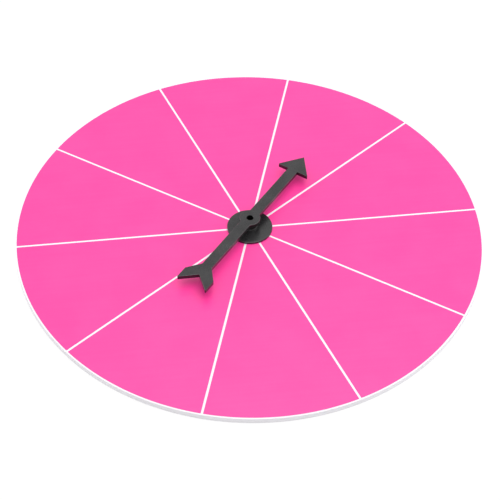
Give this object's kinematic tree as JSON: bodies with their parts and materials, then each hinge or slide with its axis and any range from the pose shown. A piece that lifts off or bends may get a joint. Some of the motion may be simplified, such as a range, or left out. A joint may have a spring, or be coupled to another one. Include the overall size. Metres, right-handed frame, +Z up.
{
  "type": "spinner board",
  "caption": "Round lay-flat game board with coloured film sectors and a black moulded arrow that spins freely on a base at its centre.",
  "frame": {"origin": "centre of the board's underside, where it lies on a table", "axes": "+Z up out of the pink face, along the arrow's pivot; +X along one of the white lines; +Y completes the frame"},
  "size_m": [0.305, 0.305, 0.0138],
  "materials": {
    "board_white": "smooth white foamed sheet, satin faces and a finely sawn edge",
    "film_pink": "satin pink film",
    "moulded_black": "black moulded plastic with a fine grain",
    "washer_black": "smooth black slip washer"
  },
  "bodies": {
    "board_body": {"board": "board_white", "sector_panel_01": "film_pink", "sector_panel_02": "film_pink", "sector_panel_03": "film_pink", "sector_panel_04": "film_pink", "sector_panel_05": "film_pink", "sector_panel_06": "film_pink", "sector_panel_07": "film_pink", "sector_panel_08": "film_pink", "sector_panel_09": "film_pink", "sector_panel_10": "film_pink", "spinner_base": "moulded_black", "back_cap": "moulded_black", "thrust_washer": "washer_black"},
    "arrow_body": {"arrow": "moulded_black"}
  },
  "joints": [
    {"name": "arrow_spin", "type": "hinge", "parent": "board_body", "child": "arrow_body", "pos_m": [0, 0, 0.0108], "axis": [0, 0, 1], "continuous": true}
  ]
}
